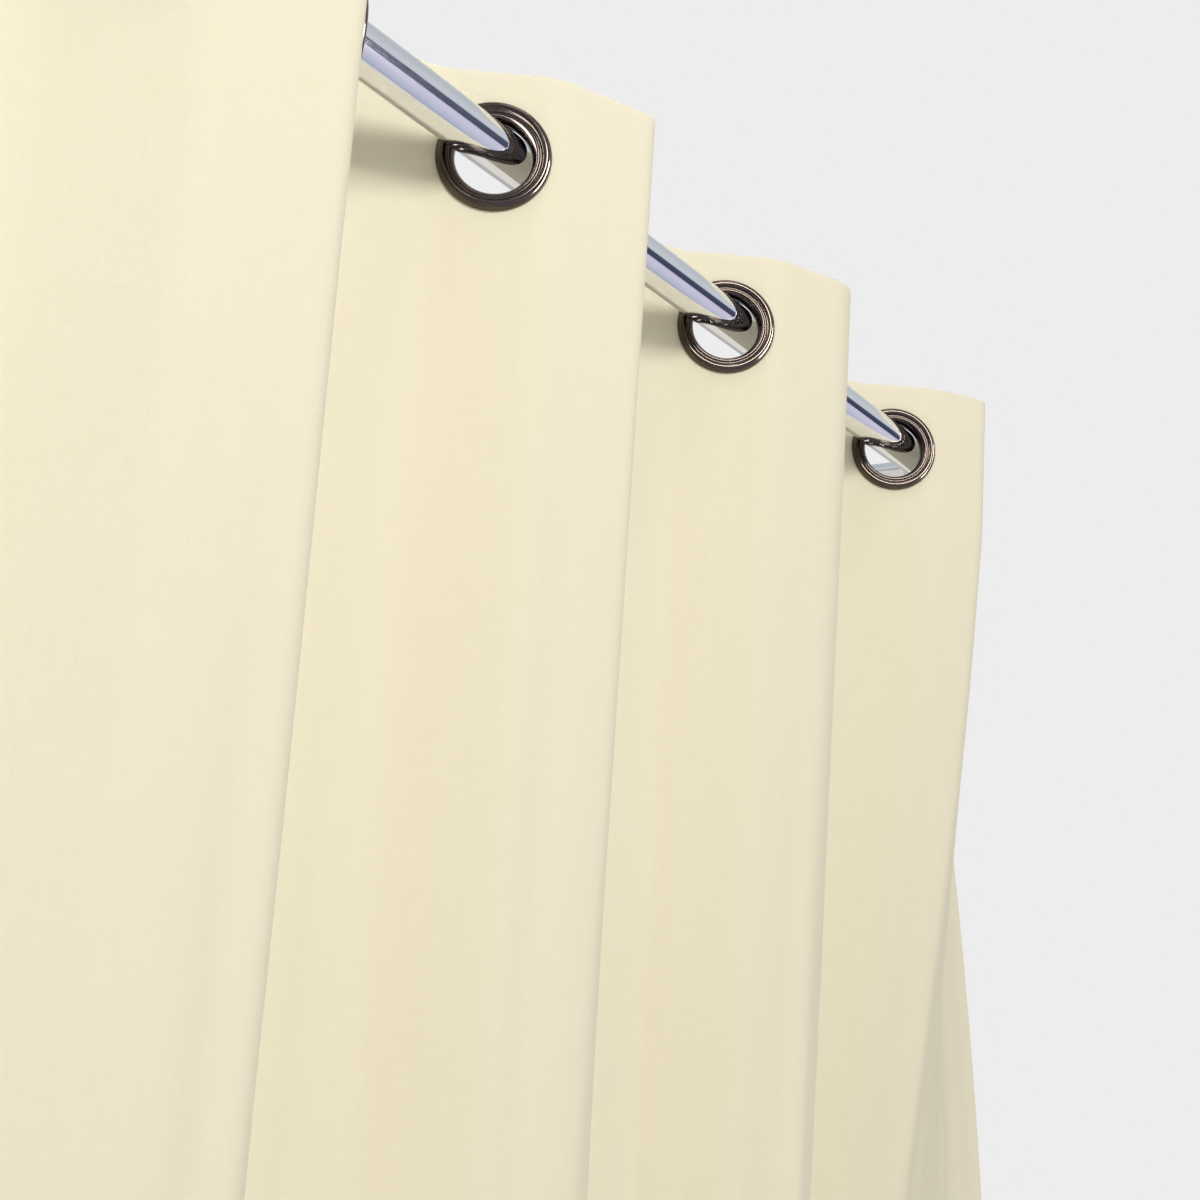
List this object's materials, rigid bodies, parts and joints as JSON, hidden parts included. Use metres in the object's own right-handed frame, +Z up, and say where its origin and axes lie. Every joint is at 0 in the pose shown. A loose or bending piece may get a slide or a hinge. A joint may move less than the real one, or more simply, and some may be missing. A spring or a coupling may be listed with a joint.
{
  "type": "eyelet curtain on rod",
  "caption": "Cream eyelet curtain panel hanging in deep folds on a round chrome rod, with clamped metal rings, push-in end caps and two open-cradle wall brackets.",
  "frame": {"origin": "middle of the right wall disc's back face, where it meets the wall, level with the rod's axis", "axes": "+Z up, +Y into the wall, +X along the rod towards the parked end of the curtain"},
  "size_m": [1.4217, 0.1855, 2.13],
  "materials": {
    "chrome": "polished chrome plate on steel and zinc",
    "gunmetal": "dark gunmetal plate, polished, with bright worn lips",
    "zinc_steel": "bright zinc plate",
    "curtain_cloth": "thick plain-woven cream blackout cloth, matt",
    "heading_band": "the same cloth over a stiff heading band"
  },
  "bodies": {
    "wall_brackets": {"wall_disc_right": "zinc_steel", "wall_screw_right_upper": "zinc_steel", "wall_screw_right_lower": "zinc_steel", "bracket_arm_right": "chrome", "wall_disc_left": "zinc_steel", "wall_screw_left_upper": "zinc_steel", "wall_screw_left_lower": "zinc_steel", "bracket_arm_left": "chrome"},
    "rod_assembly": {"rod": "chrome"},
    "cap_right": {"end_cap_right": "chrome"},
    "cap_left": {"end_cap_left": "chrome"},
    "lock_right": {"lock_screw_right": "chrome"},
    "lock_left": {"lock_screw_left": "chrome"},
    "cover_right": {"rosette_right": "chrome", "grub_screw_right": "zinc_steel"},
    "cover_left": {"rosette_left": "chrome", "grub_screw_left": "zinc_steel"},
    "station_1": {"cloth_1": "curtain_cloth", "heading_band_1": "heading_band", "bottom_hem_1": "curtain_cloth", "ring_front_1": "gunmetal", "ring_back_1": "gunmetal"},
    "station_2": {"cloth_2": "curtain_cloth", "heading_band_2": "heading_band", "bottom_hem_2": "curtain_cloth", "ring_front_2": "gunmetal", "ring_back_2": "gunmetal"},
    "station_3": {"cloth_3": "curtain_cloth", "heading_band_3": "heading_band", "bottom_hem_3": "curtain_cloth", "ring_front_3": "gunmetal", "ring_back_3": "gunmetal"},
    "station_4": {"cloth_4": "curtain_cloth", "heading_band_4": "heading_band", "bottom_hem_4": "curtain_cloth", "ring_front_4": "gunmetal", "ring_back_4": "gunmetal"},
    "station_5": {"cloth_5": "curtain_cloth", "heading_band_5": "heading_band", "bottom_hem_5": "curtain_cloth", "ring_front_5": "gunmetal", "ring_back_5": "gunmetal"},
    "station_6": {"cloth_6": "curtain_cloth", "heading_band_6": "heading_band", "bottom_hem_6": "curtain_cloth", "ring_front_6": "gunmetal", "ring_back_6": "gunmetal"},
    "station_7": {"cloth_7": "curtain_cloth", "heading_band_7": "heading_band", "bottom_hem_7": "curtain_cloth", "ring_front_7": "gunmetal", "ring_back_7": "gunmetal"},
    "station_8": {"cloth_8": "curtain_cloth", "heading_band_8": "heading_band", "bottom_hem_8": "curtain_cloth", "ring_front_8": "gunmetal", "ring_back_8": "gunmetal"}
  },
  "joints": [
    {"name": "rod_lift", "type": "slide", "parent": "wall_brackets", "child": "rod_assembly", "axis": [0, 0, 1], "range_m": [0, 0.04]},
    {"name": "park_ring_8", "type": "slide", "parent": "rod_assembly", "child": "station_8", "axis": [1, 0, 0], "range_m": [-0.012, 0]},
    {"name": "draw_ring_7", "type": "slide", "parent": "station_8", "child": "station_7", "axis": [1, 0, 0], "range_m": [-0.0125, 0.03], "deforming": ["cloth_7", "heading_band_7", "bottom_hem_7", "cloth_8", "heading_band_8", "bottom_hem_8"]},
    {"name": "draw_ring_6", "type": "slide", "parent": "station_7", "child": "station_6", "axis": [1, 0, 0], "range_m": [-0.025, 0.06], "deforming": ["cloth_6", "heading_band_6", "bottom_hem_6"]},
    {"name": "draw_ring_5", "type": "slide", "parent": "station_6", "child": "station_5", "axis": [1, 0, 0], "range_m": [-0.025, 0.06], "deforming": ["cloth_5", "heading_band_5", "bottom_hem_5"]},
    {"name": "draw_ring_4", "type": "slide", "parent": "station_5", "child": "station_4", "axis": [1, 0, 0], "range_m": [-0.025, 0.06], "deforming": ["cloth_4", "heading_band_4", "bottom_hem_4"]},
    {"name": "draw_ring_3", "type": "slide", "parent": "station_4", "child": "station_3", "axis": [1, 0, 0], "range_m": [-0.025, 0.06], "deforming": ["cloth_3", "heading_band_3", "bottom_hem_3"]},
    {"name": "draw_ring_2", "type": "slide", "parent": "station_3", "child": "station_2", "axis": [1, 0, 0], "range_m": [-0.025, 0.06], "deforming": ["cloth_2", "heading_band_2", "bottom_hem_2"]},
    {"name": "draw_ring_1", "type": "slide", "parent": "station_2", "child": "station_1", "axis": [1, 0, 0], "range_m": [-0.025, 0.06], "deforming": ["cloth_1", "heading_band_1", "bottom_hem_1"]},
    {"name": "end_cap_right_pull", "type": "slide", "parent": "rod_assembly", "child": "cap_right", "axis": [1, 0, 0], "range_m": [0, 0.03]},
    {"name": "end_cap_left_pull", "type": "slide", "parent": "rod_assembly", "child": "cap_left", "axis": [-1, 0, 0], "range_m": [0, 0.03]},
    {"name": "lock_screw_right_turn", "type": "hinge", "parent": "wall_brackets", "child": "lock_right", "pos_m": [0, -0.1, 0], "axis": [0, -1, 0], "range_deg": [0, 720]},
    {"name": "lock_screw_left_turn", "type": "hinge", "parent": "wall_brackets", "child": "lock_left", "pos_m": [-1.2, -0.1, 0], "axis": [0, -1, 0], "range_deg": [0, 720]},
    {"name": "rosette_right_slide", "type": "slide", "parent": "wall_brackets", "child": "cover_right", "axis": [0, -1, 0], "range_m": [0, 0.03]},
    {"name": "rosette_left_slide", "type": "slide", "parent": "wall_brackets", "child": "cover_left", "axis": [0, -1, 0], "range_m": [0, 0.03]}
  ],
  "couplings": [
    {"joint": "draw_ring_7", "follows": "draw_ring_6", "ratio": 0.5},
    {"joint": "draw_ring_5", "follows": "draw_ring_6", "ratio": 1},
    {"joint": "draw_ring_4", "follows": "draw_ring_6", "ratio": 1},
    {"joint": "draw_ring_3", "follows": "draw_ring_6", "ratio": 1},
    {"joint": "draw_ring_2", "follows": "draw_ring_6", "ratio": 1},
    {"joint": "draw_ring_1", "follows": "draw_ring_6", "ratio": 1}
  ]
}
